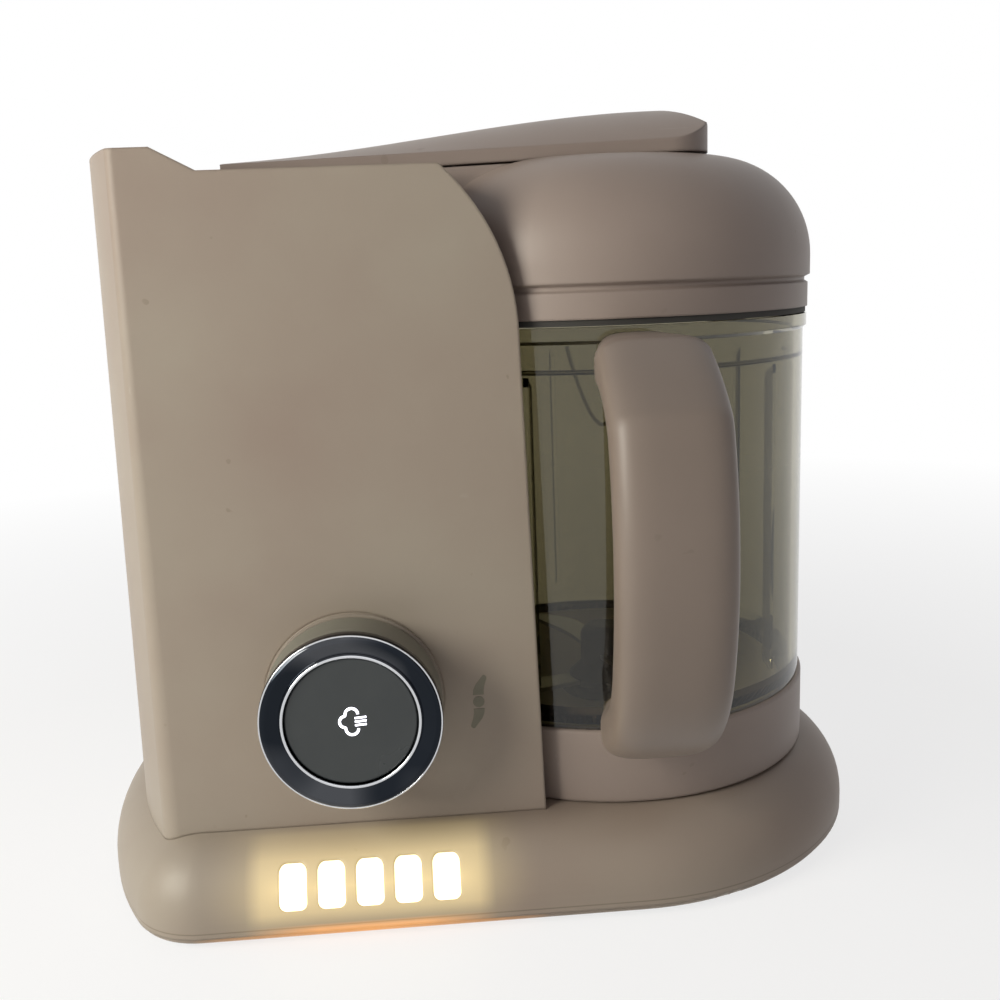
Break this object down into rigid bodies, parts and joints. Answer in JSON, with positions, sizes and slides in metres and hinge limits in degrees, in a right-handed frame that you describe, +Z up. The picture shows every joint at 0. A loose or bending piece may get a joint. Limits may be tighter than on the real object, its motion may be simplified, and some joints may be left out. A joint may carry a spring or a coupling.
{
  "type": "baby food maker",
  "caption": "Countertop baby food maker: steam boiler tower with turn-and-press knob beside a clear blender bowl with handle, under a hinged domed lid with lever, on one rounded base.",
  "frame": {"origin": "on the floor, under the middle of the whole object's box, handle included", "axes": "+Z up, front (knob and handle) towards -Y, bowl on the right towards +X, length along X"},
  "size_m": [0.239, 0.195, 0.2238],
  "materials": {
    "body_plastic": "satin moulded taupe",
    "lid_plastic": "satin moulded taupe, slightly mauve",
    "inner_plastic": "plain moulded",
    "clear_bowl": "clear, a little smoky",
    "light_diffuser": "lit warm white diffuser",
    "chrome_trim": "mirror plated",
    "knob_face": "gloss dark slate",
    "rubber": "matte",
    "steel": "brushed",
    "heater_metal": "cast",
    "black_plastic": "moulded",
    "board": "circuit board"
  },
  "bodies": {
    "base": {"base_shell": "body_plastic", "light_windows": "light_diffuser", "light_board": "board", "bottom_plate": "body_plastic", "rubber_feet": "rubber", "bottom_screws": "steel", "cord_gland": "rubber", "tower_housing": "body_plastic", "tank_deck": "inner_plastic", "lid_hinge_pin": "steel", "inner_frame": "inner_plastic", "boiler_heater": "heater_metal", "thermostat": "steel", "boiler_tank": "steel", "motor_bracket": "inner_plastic", "motor_can": "steel", "drive_belt": "rubber", "spindle_bearing": "inner_plastic", "spindle_step": "inner_plastic", "knob_seat": "body_plastic", "knob_switch": "inner_plastic", "control_board": "board"},
    "lid": {"lid_dome": "lid_plastic", "lid_inner_plate": "inner_plastic", "lid_gasket": "rubber", "tank_seal": "rubber"},
    "lever": {"lid_lever": "lid_plastic"},
    "knob": {"knob_skirt": "body_plastic", "knob_ring": "chrome_trim"},
    "button": {"knob_button": "knob_face"},
    "bowl": {"bowl_glass": "clear_bowl", "bowl_collar": "lid_plastic", "bowl_seal": "rubber", "bowl_handle": "lid_plastic"},
    "drive": {"driven_pulley": "black_plastic", "drive_spindle": "steel", "drive_coupling": "black_plastic", "blade_shaft": "steel", "blade_hub": "black_plastic", "lower_blades": "steel", "upper_blades": "steel"},
    "motor_rotor": {"motor_shaft": "steel", "motor_pulley": "black_plastic"}
  },
  "joints": [
    {"name": "lid_hinge", "type": "hinge", "parent": "base", "child": "lid", "pos_m": [-0.0595, 0.0175, 0.2], "axis": [0, -1, 0], "range_deg": [0, 80]},
    {"name": "lever_lift", "type": "hinge", "parent": "lid", "child": "lever", "pos_m": [-0.0595, 0.0175, 0.2], "axis": [0, -1, 0], "range_deg": [0, 25]},
    {"name": "knob_turn", "type": "hinge", "parent": "base", "child": "knob", "pos_m": [-0.0375, 0.0175, 0.0635], "axis": [0, 1, 0], "range_deg": [0, 40], "stiffness_Nm_per_rad": 0.05},
    {"name": "button_press", "type": "slide", "parent": "knob", "child": "button", "axis": [0, 1, 0], "range_m": [0, 0.0025], "stiffness_N_per_m": 400},
    {"name": "bowl_twist", "type": "hinge", "parent": "base", "child": "bowl", "pos_m": [0.0425, 0.0175, 0], "axis": [0, 0, 1], "range_deg": [0, 30]},
    {"name": "drive_spin", "type": "hinge", "parent": "base", "child": "drive", "pos_m": [0.0425, 0.0175, 0], "axis": [0, 0, 1], "continuous": true},
    {"name": "motor_spin", "type": "hinge", "parent": "base", "child": "motor_rotor", "pos_m": [-0.0655, 0.0175, 0], "axis": [0, 0, 1], "continuous": true}
  ],
  "couplings": [
    {"joint": "motor_spin", "follows": "drive_spin", "ratio": 2.8235}
  ]
}
